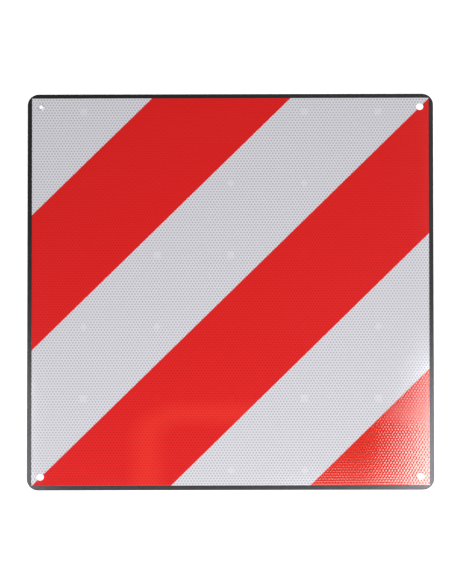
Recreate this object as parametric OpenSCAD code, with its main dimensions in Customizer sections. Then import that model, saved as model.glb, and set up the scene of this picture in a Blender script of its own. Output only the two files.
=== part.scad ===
// Overhanging load sign: a square plastic plate that is tied or bolted to a load by its
// four corner holes. White reflective sheeting covers its face up to a bare margin,
// and red see-through film lies over the sheeting in sloping bands.
// The plate lies on its back, its face up (+Z), the top of the sign towards +Y.

/* [Plate] */
// Width and height of the square plate
plate_size = 500; // [420:1:520]
// Thickness of the plate
plate_t = 2.5; // [1.5:0.1:5]
// Radius of the plate's four corners, seen from the front
corner_r = 14; // [8:0.5:15]
// Radius of the rounding that runs along the front and back edges
edge_r = 0.5; // [0.2:0.05:0.7]

/* [Sheeting] */
// Margin of bare plate around the reflective sheeting
margin = 5.5; // [5:0.25:10]
// Thickness of the reflective sheeting with its adhesive
sheeting_t = 0.5; // [0.3:0.05:1]

/* [Red bands] */
// Height of the red and the white corner triangle, measured square to the bands
corner_h = 104; // [80:1:125]
// Slope of the bands, up to the right
band_angle = 45; // [40:1:50]
// How far the whole pattern of bands lies below the plate's centre, square to the bands
band_shift = 0.5; // [-3:0.25:5]
// Thickness of the red film laid over the sheeting
red_film_t = 0.1; // [0.05:0.01:0.3]

/* [Fixing holes] */
// Diameter of the four corner holes
hole_d = 9; // [4:0.5:10]
// Distance from each hole's centre to the two nearest edges of the plate
hole_inset = 16.5; // [16:0.5:40]

/* [Hidden] */

sheeting_size = plate_size - 2 * margin;
corner_centre = plate_size / 2 - corner_r; // of the plate's corner rounding
hole_place = plate_size / 2 - hole_inset;
sheeting_z = plate_t;
red_film_z = sheeting_z + sheeting_t;
corner_reach = sheeting_size / 2 * (sin(band_angle) + cos(band_angle)); // centre to corner
band_w = (corner_reach - corner_h) / 2; // two bands lie between the centre and each corner
band_l = 2 * plate_size; // long enough to cross the sheeting at any slope
cut = 1; // how far a hole's cutter runs past both faces
round_fn = 96;
edge_fn = 48;

// One copy of its child in each of the four corners, at the same distance from both axes.
module at_corners(distance) {
    for (turn = [0 : 90 : 270])
        rotate([0, 0, turn])
            translate([distance, distance, 0])
                children();
}

// The four fixing holes as discs, for whatever the holes go through.
module hole_discs() {
    at_corners(hole_place)
        circle(d = hole_d, $fn = round_fn);
}

// Section through the plate's edge, from the centre of the corner rounding outwards:
// the front and back corners of the section are rounded.
module edge_section() {
    square([corner_r - edge_r, plate_t]);
    translate([0, edge_r])
        square([corner_r, plate_t - 2 * edge_r]);
    for (z = [edge_r, plate_t - edge_r])
        translate([corner_r - edge_r, z])
            circle(r = edge_r, $fn = edge_fn);
}

// The edge section drawn along the four sides and turned round the four corners.
module plate_blank() {
    translate([-corner_centre, -corner_centre, 0])
        cube([2 * corner_centre, 2 * corner_centre, plate_t]);
    at_corners(corner_centre) {
        rotate_extrude(angle = 90, $fn = round_fn)
            edge_section();
        rotate([90, 0, 0])
            linear_extrude(2 * corner_centre)
                edge_section();
    }
}

module backing_plate() {
    color("#2b2b2d")
        difference() {
            plate_blank();
            translate([0, 0, -cut])
                linear_extrude(plate_t + 2 * cut)
                    hole_discs();
        }
}

// The sheeting as cut: a square with sharp corners, punched with the plate.
module sheeting_outline() {
    difference() {
        square(sheeting_size, center = true);
        hole_discs();
    }
}

module white_sheeting() {
    color("#cdced4")
        translate([0, 0, sheeting_z])
            linear_extrude(sheeting_t)
                sheeting_outline();
}

// Red film cut to the sheeting: a strip that runs up to the right. Its lower edge lies
// `above` over the middle line of the pattern, and it is `width` wide.
module red_film(above, width) {
    color("#d2232a")
        translate([0, 0, red_film_z])
            linear_extrude(red_film_t)
                intersection() {
                    sheeting_outline();
                    rotate([0, 0, band_angle])
                        translate([-band_l / 2, above - band_shift])
                            square([band_l, width]);
                }
}

// Two whole red bands, a white one between them, and the red corner after another white one.
module red_band_upper() red_film(band_w, band_w);
module red_band_middle() red_film(-band_w, band_w);
module red_corner() red_film(-2 * band_w - corner_reach, corner_reach);

backing_plate();
white_sheeting();
red_band_upper();
red_band_middle();
red_corner();
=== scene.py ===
import math

import bpy
from mathutils import Matrix, Vector


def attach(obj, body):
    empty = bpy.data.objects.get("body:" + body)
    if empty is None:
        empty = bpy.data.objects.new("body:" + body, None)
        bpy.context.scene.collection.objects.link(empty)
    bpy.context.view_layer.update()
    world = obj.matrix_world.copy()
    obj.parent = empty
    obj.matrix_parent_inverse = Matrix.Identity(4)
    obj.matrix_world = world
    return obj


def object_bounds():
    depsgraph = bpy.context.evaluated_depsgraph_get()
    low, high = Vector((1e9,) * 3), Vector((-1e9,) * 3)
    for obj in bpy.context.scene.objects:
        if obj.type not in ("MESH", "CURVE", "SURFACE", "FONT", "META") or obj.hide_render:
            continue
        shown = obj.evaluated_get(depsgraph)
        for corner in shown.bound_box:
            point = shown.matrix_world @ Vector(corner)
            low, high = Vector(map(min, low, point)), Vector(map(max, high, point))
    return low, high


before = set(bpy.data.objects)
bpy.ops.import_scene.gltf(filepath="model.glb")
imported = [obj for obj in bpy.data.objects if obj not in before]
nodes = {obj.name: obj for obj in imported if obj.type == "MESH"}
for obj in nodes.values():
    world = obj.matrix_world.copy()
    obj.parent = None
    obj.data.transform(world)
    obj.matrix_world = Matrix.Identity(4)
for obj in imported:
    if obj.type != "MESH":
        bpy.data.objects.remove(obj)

MM = 0.001
cad_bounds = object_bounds()
scene = bpy.context.scene
scene.view_settings.view_transform = "Standard"

# Camera. It looks down on the face of the sign from the side of its bottom edge, 13 degrees
# off the face's normal, and from so far away that the square stays nearly square.
LENS = 1002.0
SENSOR = 36.0
DISTANCE = 20.0
AZIMUTH = math.radians(2.13)
ELEVATION = math.radians(76.91)
ROLL = math.radians(-2.21)
AIM = Vector((-5.5 * MM, -0.2 * MM, 0.0))
FARTHEST = 100.0

away = Vector((
    math.sin(AZIMUTH) * math.cos(ELEVATION),
    -math.cos(AZIMUTH) * math.cos(ELEVATION),
    math.sin(ELEVATION),
))
turn = away.to_track_quat("Z", "Y").to_matrix().to_4x4() @ Matrix.Rotation(ROLL, 4, "Z")
camera_data = bpy.data.cameras.new("camera")
camera_data.lens = LENS
camera_data.sensor_width = SENSOR
camera_data.clip_end = FARTHEST
camera = bpy.data.objects.new("camera", camera_data)
camera.matrix_world = Matrix.Translation(AIM + away * DISTANCE) @ turn
scene.collection.objects.link(camera)
scene.camera = camera


# Backing plate. One sheet of black plastic with a satin skin, cut to a square with rounded
# corners, its edges eased and its four corner holes punched.
class Socket:
    """One output of a shader node. Sums on it add Math nodes to its finish."""

    def __init__(self, finish, link):
        self.finish = finish
        self.link = link

    def math(self, operation, *others):
        return self.finish.maths(operation, self, *others)

    def cos(self):
        return self.math("COSINE")

    def __add__(self, other):
        return self.math("ADD", other)

    def __radd__(self, other):
        return self.math("ADD", other)

    def __sub__(self, other):
        return self.math("SUBTRACT", other)

    def __rsub__(self, other):
        return self.finish.maths("SUBTRACT", other, self)

    def __mul__(self, other):
        return self.math("MULTIPLY", other)

    def __rmul__(self, other):
        return self.math("MULTIPLY", other)


class Finish:
    """A material on the principled shader. Everything in it comes from add()."""

    def __init__(self, name):
        self.material = bpy.data.materials.new(name)
        self.material.use_nodes = True
        self.tree = self.material.node_tree
        self.shader = self.tree.nodes["Principled BSDF"]
        self.place = self.add("TexCoord", output="Object")

    def add(self, kind, settings=None, inputs=None, output=0):
        node = self.tree.nodes.new("ShaderNode" + kind)
        for name, value in (settings or {}).items():
            setattr(node, name, value)
        self.feed(node, inputs or {})
        return Socket(self, node.outputs[output])

    def feed(self, node, inputs):
        for name, value in inputs.items():
            if isinstance(value, Socket):
                self.tree.links.new(value.link, node.inputs[name])
            else:
                node.inputs[name].default_value = value

    def maths(self, operation, *values):
        return self.add("Math", {"operation": operation}, dict(enumerate(values)))

    def noise(self, size, detail=2.0):
        """Cloudy pattern from 0 to 1, whose patches are about `size` metres across."""
        return self.add("TexNoise", None, {"Vector": self.place, "Scale": 1 / size, "Detail": detail})

    def between(self, factor, low, high):
        """The colour `low` where the factor is 0 and `high` where it is 1."""
        return self.add("Mix", {"data_type": "RGBA"}, {"Factor": factor, 6: low, 7: high}, output=2)

    def bumps(self, height):
        """A normal from a height in metres."""
        return self.add("Bump", None, {"Height": height, "Distance": 1.0})

    def surface(self, inputs):
        """Sets or links the principled shader's own sockets."""
        self.feed(self.shader, inputs)

    def put_on(self, *names):
        for name in names:
            piece = nodes[name]
            piece.data.materials.clear()
            piece.data.materials.append(self.material)


BLACK = (0.0065, 0.0065, 0.0065, 1.0)
BLACK_WORN = (0.0105, 0.0105, 0.0105, 1.0)
SKIN_GRAIN = 0.9 * MM
SKIN_DEPTH = 0.003 * MM
SKIN_CLOUD = 35 * MM
SKIN_ROUGHNESS = 0.115
SKIN_SPREAD = 0.03
SKIN_GLOSS = 0.645

plastic = Finish("black_plastic")
cloud = plastic.noise(SKIN_CLOUD, 4.0)
grain = plastic.noise(SKIN_GRAIN)
plastic.surface({
    "Base Color": plastic.between(cloud, BLACK, BLACK_WORN),
    "Roughness": SKIN_ROUGHNESS + SKIN_SPREAD * cloud,
    "Specular IOR Level": SKIN_GLOSS,
    "Normal": plastic.bumps(SKIN_DEPTH * grain),
})
plastic.put_on("backing_plate")


# Reflective sheeting. Grey-white film over glass-bead cells, which are sealed to each other
# in a honeycomb: the cells show as rows of small darker dots and the seals stand pale
# between them. Rows of small plain squares and diamonds, printed inside the film, fade them.
CELL = 3.73 * MM
ROW = CELL * math.sqrt(3) / 2
SEAL_DEPTH = 0.015 * MM
MARK_PITCH = 90.65 * MM
MARK_COLUMN = 0.4 * MM
MARK_ROW = 46.1 * MM
SQUARE_HALF = 4.3 * MM
DIAMOND_HALF = 4.9 * MM
MARK_EDGE = 0.9 * MM
MARK_FADE = 0.45


def across(finish):
    """The two places on the face, from left to right and from bottom to top."""
    x = finish.add("SeparateXYZ", None, {0: finish.place}, "X")
    return x, Socket(finish, x.link.node.outputs["Y"])


def off_grid(place, first, pitch):
    """How far a place is from the nearest of a row of places, in metres."""
    turns = ((place - first) * (1 / pitch) + 0.5).math("FRACT")
    return ((turns - 0.5) * pitch).math("ABSOLUTE")


def inside(distance, half, edge):
    """1 inside this distance and 0 outside it, with an edge this soft."""
    return distance.finish.add("MapRange", {"clamp": True}, {
        "Value": distance, "From Min": half + edge / 2, "From Max": half - edge / 2,
    })


def cells(finish):
    """1 in the middle of each honeycomb cell and 0 where three cells meet."""
    x, y = across(finish)
    rise = 2 * math.pi / ROW
    slant = x * (rise * math.cos(math.radians(30)))
    height = y * (rise * math.sin(math.radians(30)))
    waves = (y * rise).cos() + (slant + height).cos() + (height - slant).cos()
    # Three waves 60 degrees apart add up to -1.5 at the least and 3 at the most.
    lowest, highest = -1.5, 3.0
    return (waves - lowest) * (1 / (highest - lowest))


def marks(finish):
    """1 on each printed mark: rows of squares, and rows of diamonds between them."""
    x, y = across(finish)
    column = off_grid(x, MARK_COLUMN, MARK_PITCH)
    square_row = off_grid(y, MARK_ROW, 2 * MARK_PITCH)
    diamond_row = off_grid(y, MARK_ROW + MARK_PITCH, 2 * MARK_PITCH)
    square = column.math("MAXIMUM", square_row)
    return inside(square, SQUARE_HALF, MARK_EDGE) + inside(column + diamond_row, DIAMOND_HALF, MARK_EDGE)


WHITE_SEAL = (0.762, 0.762, 0.770, 1.0)
WHITE_CELL = (0.363, 0.363, 0.378, 1.0)
FILM_IOR = 1.65
FILM_GLOSS = 1.0
FILM_CLOUD = 60 * MM
FILM_ROUGHNESS = 0.035
FILM_SPREAD = 0.02

sheeting = Finish("white_sheeting")
cell = cells(sheeting)
printed = marks(sheeting)
cloud = sheeting.noise(FILM_CLOUD, 3.0)
sheeting.surface({
    "Base Color": sheeting.between(cell * (1 - MARK_FADE * printed), WHITE_SEAL, WHITE_CELL),
    "Roughness": FILM_ROUGHNESS + FILM_SPREAD * cloud,
    "IOR": FILM_IOR,
    "Specular IOR Level": FILM_GLOSS,
    "Normal": sheeting.bumps(SEAL_DEPTH * cell),
})
sheeting.put_on("white_sheeting")


# Red bands. Three pieces of thin see-through red film, laid over the sheeting and pressed
# into its honeycomb, whose cells show through as darker red dots, more so lower down. The
# corner piece is pressed harder and is glossier, and its colours carry painted glare: brighter,
# more orange seals and darker cells stand for the highlight streaks there. The middle band
# has a paler bent stripe, which is a painted reflection of a lamp.
RED_SEAL = (0.735, 0.0050, 0.0040, 1.0)
RED_CELL = (0.525, 0.0010, 0.0005, 1.0)
# The corner's colours are partly painted glare: its seals are brighter and more orange, and its cells
# darker, than the other bands', standing for highlight streaks.
CORNER_SEAL_WITH_GLARE = (0.940, 0.0130, 0.0005, 1.0)
CORNER_CELL_WITH_GLARE = (0.200, 0.0020, 0.0005, 1.0)
WARM_GLOSS = (1.0, 0.97, 0.86, 1.0)
# Painted reflection: these paler reds, on the bent stripe of the middle band, stand for a lamp's
# reflection in the film.
REFLECTION_SEAL = (0.790, 0.0175, 0.0075, 1.0)
REFLECTION_CELL = (0.600, 0.0110, 0.0040, 1.0)
WHITE = (1.0, 1.0, 1.0, 1.0)
FACE_BOTTOM = cad_bounds[0][1]
FACE_TOP = cad_bounds[1][1]
BAND_GLOSS = 0.33
HAZE = 0.24
HAZE_ROUGHNESS = 0.3
PRESSED_DEPTH = 0.020 * MM
AVERAGE_CELL = 1 / 3
SHOWN_AT_TOP = 0.27
SHOWN_AT_BOTTOM = 0.90
STRIPE_CORNER = (-127 * MM, -137 * MM)
STRIPE_BEND = 70 * MM
STRIPE_SQUASH = 1.4
STRIPE_MIDDLE = 24 * MM
STRIPE_HALF = 16 * MM
STRIPE_EDGE = 24 * MM


def painted_reflection_stripe(finish):
    """1 on the painted reflection: a paler stripe that runs up, turns a round corner and runs to the
    right.
    """
    x, y = across(finish)
    left = (STRIPE_BEND + STRIPE_CORNER[0] - x).math("MAXIMUM", 0.0)
    above = (STRIPE_BEND - STRIPE_SQUASH * (STRIPE_CORNER[1] - y)).math("MAXIMUM", 0.0)
    depth = STRIPE_BEND - (left * left + above * above).math("SQRT")
    return inside((depth - STRIPE_MIDDLE).math("ABSOLUTE"), STRIPE_HALF, STRIPE_EDGE)


def pressed_film(name, seal, dot, gloss, tint, haze, depth):
    """Red film over the honeycomb, in these colours on its seals and cells, with this gloss
    in this tint, this much haze over its seals and its cells pressed this deep."""
    film = Finish(name)
    cell = cells(film)
    # From 0 at the top of the face to 1 at its bottom.
    low = inside(across(film)[1], (FACE_TOP + FACE_BOTTOM) / 2, FACE_TOP - FACE_BOTTOM)
    strength = SHOWN_AT_TOP + (SHOWN_AT_BOTTOM - SHOWN_AT_TOP) * low
    shown = AVERAGE_CELL + (cell * (1 - MARK_FADE * marks(film)) - AVERAGE_CELL) * strength
    film.surface({
        # Where the bent stripe lies, the colour is the painted reflection's paler red.
        "Base Color": film.between(
            painted_reflection_stripe(film), film.between(shown, seal, dot), film.between(shown, REFLECTION_SEAL, REFLECTION_CELL),
        ),
        "Roughness": FILM_ROUGHNESS + FILM_SPREAD * film.noise(FILM_CLOUD, 3.0),
        "IOR": FILM_IOR,
        "Specular IOR Level": gloss,
        "Specular Tint": tint,
        "Coat Weight": haze - haze * cell,
        "Coat Roughness": HAZE_ROUGHNESS,
        "Normal": film.bumps(depth * cell),
    })
    film.put_on(name)


for band in ("red_band_upper", "red_band_middle"):
    pressed_film(band, RED_SEAL, RED_CELL, BAND_GLOSS, WHITE, HAZE, SEAL_DEPTH)
# Painted glare: the corner's brighter seals and darker cells stand for the highlight streaks on it.
pressed_film("red_corner", CORNER_SEAL_WITH_GLARE, CORNER_CELL_WITH_GLARE, FILM_GLOSS, WARM_GLOSS, 0.0, PRESSED_DEPTH)


# Torn rim. The punch left a ragged ring of sheeting in the top left hole, pressed a little
# into it, so this hole looks smaller than the others. On its lower right the ring has come
# off the hole's wall and leaves a narrow slit. Its dull greys are painted shade, darker than
# the sheeting, standing for the shade down in the hole.
HOLE_X = -233.5 * MM
HOLE_Y = 233.5 * MM
HOLE_R = 4.45 * MM
TORN_R = 3.3 * MM
TORN_AWAY = Vector((0.2 * MM, 0.3 * MM, -0.15 * MM))
TORN_TOP = 2.9 * MM
TORN_THICK = 0.2 * MM
SLIT_FROM = math.radians(-80)
SLIT_TO = math.radians(5)
SLIT_WIDTH = 1.3 * MM
# Painted shade: the rim's greys stand for the shade inside the hole.
TORN_SHADE_DARK = (0.44, 0.44, 0.44, 1.0)
TORN_SHADE_PALE = (0.56, 0.56, 0.56, 1.0)
TORN_GRAIN = 2 * MM
TORN_ROUGHNESS = 0.5

bpy.ops.object.select_all(action="DESELECT")
hole = Vector((HOLE_X, HOLE_Y, TORN_TOP))
bpy.ops.mesh.primitive_circle_add(
    vertices=48, radius=HOLE_R, fill_type="NOTHING", location=hole,
)
rim = bpy.context.active_object
rim.name = "torn_rim"
bpy.ops.object.transform_apply(location=True, rotation=True, scale=True)


def pick(test):
    """Selects the vertices of the torn rim that pass a test on their place about the hole."""
    bpy.ops.object.mode_set(mode="OBJECT")
    for vertex in rim.data.vertices:
        vertex.select = test(vertex.co - hole)
    bpy.ops.object.mode_set(mode="EDIT")
    bpy.ops.mesh.select_mode(type="VERT")


pick(lambda at: True)
bpy.ops.mesh.extrude_region_move(TRANSFORM_OT_translate={"value": TORN_AWAY})
bpy.ops.transform.resize(
    value=(TORN_R / HOLE_R, TORN_R / HOLE_R, 1), center_override=hole + TORN_AWAY,
)
pick(lambda at: at.z > TORN_AWAY.z / 2 and SLIT_FROM < math.atan2(at.y, at.x) < SLIT_TO)
shrink = 1 - SLIT_WIDTH / HOLE_R
bpy.ops.transform.resize(value=(shrink, shrink, 1), center_override=hole)
pick(lambda at: True)
bpy.ops.mesh.normals_make_consistent(inside=False)
bpy.ops.object.mode_set(mode="OBJECT")
wall = rim.modifiers.new("thickness", "SOLIDIFY")
wall.thickness = TORN_THICK
wall.offset = 0.0
bpy.ops.object.modifier_apply(modifier=wall.name)
torn = Finish("torn_sheeting")
# The rim's grey grain is painted shade from the hole.
torn.surface({
    "Base Color": torn.between(torn.noise(TORN_GRAIN), TORN_SHADE_DARK, TORN_SHADE_PALE),
    "Roughness": TORN_ROUGHNESS,
})
rim.data.materials.append(torn.material)
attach(rim, "root")


# Floor. A plain white surface that the sign lies on. It is white to the camera, and keeps
# the sign's shadow.
FLOOR_SIZE = 60.0
FLOOR_GREY = (0.9, 0.9, 0.9, 1.0)
FLOOR_ROUGHNESS = 0.9
FLOOR_GLOW = 0.6

bpy.ops.object.select_all(action="DESELECT")
bpy.ops.mesh.primitive_plane_add(size=FLOOR_SIZE, location=(0, 0, 0))
floor = bpy.context.active_object
floor.name = "floor"

floor_finish = Finish("white_floor")
ray_kinds = ("Is Camera Ray", "Is Glossy Ray", "Is Transmission Ray")
seen, glossy, through = [floor_finish.add("LightPath", output=kind) for kind in ray_kinds]
floor_finish.surface({
    "Base Color": FLOOR_GREY,
    "Roughness": FLOOR_ROUGHNESS,
    "Specular IOR Level": 0.0,
    "Emission Color": WHITE,
    "Emission Strength": FLOOR_GLOW * (seen + glossy + through),
})
floor.data.materials.append(floor_finish.material)


# Studio. The softboxes, a panel and a strip overhead hang where their mirror images lie at
# the sign's lower corners and past its edges. Low panels in front and at the sides fill in,
# and the camera sees nothing of them in the face.
SKY_LEVEL = 0.225
HEIGHT = 2.0
SPREAD = 1 + HEIGHT / camera.matrix_world.translation.z
DAYLIGHT = (0.98, 0.97, 1.04)


def softbox(name, place, turned, size, radiance):
    """A rectangle of light that points down its own Z axis, turned by three angles in degrees."""
    lamp = bpy.data.lights.new(name, "AREA")
    lamp.shape = "RECTANGLE"
    lamp.color = DAYLIGHT
    lamp.size, lamp.size_y = size
    lamp.energy = radiance * math.pi * size[0] * size[1]
    holder = bpy.data.objects.new(name, lamp)
    holder.location = place
    holder.rotation_euler = [math.radians(angle) for angle in turned]
    holder.visible_camera = False
    scene.collection.objects.link(holder)


def mirrored(name, centre, turned, size, radiance):
    """A softbox whose mirror image on the sign has this centre and size in metres."""
    eye = camera.matrix_world.translation
    place = [at * SPREAD - seen * (SPREAD - 1) for at, seen in zip(centre, eye)]
    softbox(name, (*place, HEIGHT), (0, 0, turned), [side * SPREAD for side in size], radiance)


mirrored("right_softbox", (0.547, -0.433), -14, (0.73, 0.55), 8.0)
mirrored("right_panel", (0.36, 0.11), 0, (0.18, 0.38), 1.1)
mirrored("left_softbox", (-0.365, -0.244), 0, (0.18, 0.30), 9.6)
mirrored("strip", (0.03, -0.39), 0, (0.44, 0.22), 2.9)
mirrored("short_strip", (0.125, -0.365), 0, (0.12, 0.20), 3.5)
mirrored("top_panel", (0.16, 0.36), 0, (0.14, 0.12), 2.3)
softbox("right_panel_low", (1.0, -0.1, 1.7), (0, 30.5, 0), (0.6, 0.6), 5.0)
softbox("left_panel_low", (-1.0, -0.1, 1.7), (0, -30.5, 0), (0.6, 0.6), 3.6)
softbox("front_panel", (0, -1.1, 0.8), (54, 0, 0), (1.2, 0.4), 7.4)

world = bpy.data.worlds.new("studio")
scene.world = world
world.use_nodes = True
sky = world.node_tree.nodes["Background"]
sky.inputs["Color"].default_value = WHITE
sky.inputs["Strength"].default_value = SKY_LEVEL
